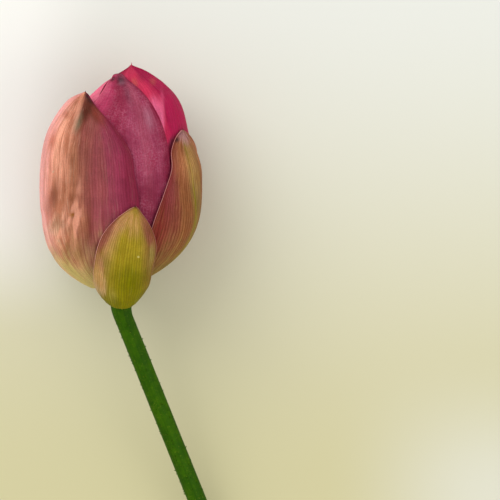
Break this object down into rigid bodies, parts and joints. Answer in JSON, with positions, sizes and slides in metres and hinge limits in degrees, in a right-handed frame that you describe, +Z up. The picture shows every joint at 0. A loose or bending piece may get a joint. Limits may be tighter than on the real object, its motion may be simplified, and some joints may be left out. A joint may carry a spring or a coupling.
{
  "type": "lotus bud",
  "caption": "Closed lotus flower bud on its cut stalk, lying on its back: overlapping petals round a seed head, small green sepals at the base and a prickly stalk.",
  "frame": {"origin": "on the surface that the bud lies on, under the middle of the bud, on the flat spot of the back outer petal", "axes": "+Y from the stalk to the bud's tip, +Z up, away from the surface, +X to the side that the stalk bends to"},
  "size_m": [0.0922, 0.2421, 0.0724],
  "materials": {
    "sepal_front": "olive green, fine lengthwise veins, pinkish margins",
    "sepal_back_left": "olive green, fine lengthwise veins",
    "sepal_back_right": "olive green, fine lengthwise veins",
    "petal_outer_left": "orange tan fading to mauve, fine lengthwise veins, matte",
    "petal_outer_right": "tan and olive with a green midrib, fine lengthwise veins, matte",
    "petal_outer_back": "tan to pink, fine lengthwise veins, matte",
    "petal_middle_front": "mauve pink, fine lengthwise veins, matte",
    "petal_middle_back_left": "mauve pink, fine lengthwise veins, matte",
    "petal_middle_back_right": "mauve pink, fine lengthwise veins, matte",
    "petal_apex": "crimson, translucent, matte",
    "petal_inner_back_left": "crimson pink, matte",
    "petal_inner_back_right": "crimson pink, matte",
    "petal_inner_left": "bright pink, translucent",
    "petal_deep_back": "bright pink",
    "petal_deep_right": "bright pink",
    "petal_core_front": "pale pink",
    "petal_core_left": "pale pink",
    "petal_core_right": "pale pink",
    "receptacle": "pale yellow green, matte",
    "stamens": "golden yellow, matte",
    "stalk": "dark green, satin, with small prickles"
  },
  "bodies": {
    "root": {"sepal_front": "sepal_front", "sepal_back_left": "sepal_back_left", "sepal_back_right": "sepal_back_right", "petal_outer_left": "petal_outer_left", "petal_outer_right": "petal_outer_right", "petal_outer_back": "petal_outer_back", "petal_middle_front": "petal_middle_front", "petal_middle_back_left": "petal_middle_back_left", "petal_middle_back_right": "petal_middle_back_right", "petal_apex": "petal_apex", "petal_inner_back_left": "petal_inner_back_left", "petal_inner_back_right": "petal_inner_back_right", "petal_inner_left": "petal_inner_left", "petal_deep_back": "petal_deep_back", "petal_deep_right": "petal_deep_right", "petal_core_front": "petal_core_front", "petal_core_left": "petal_core_left", "petal_core_right": "petal_core_right", "receptacle": "receptacle", "stamens": "stamens", "stalk": "stalk"}
  },
  "joints": []
}
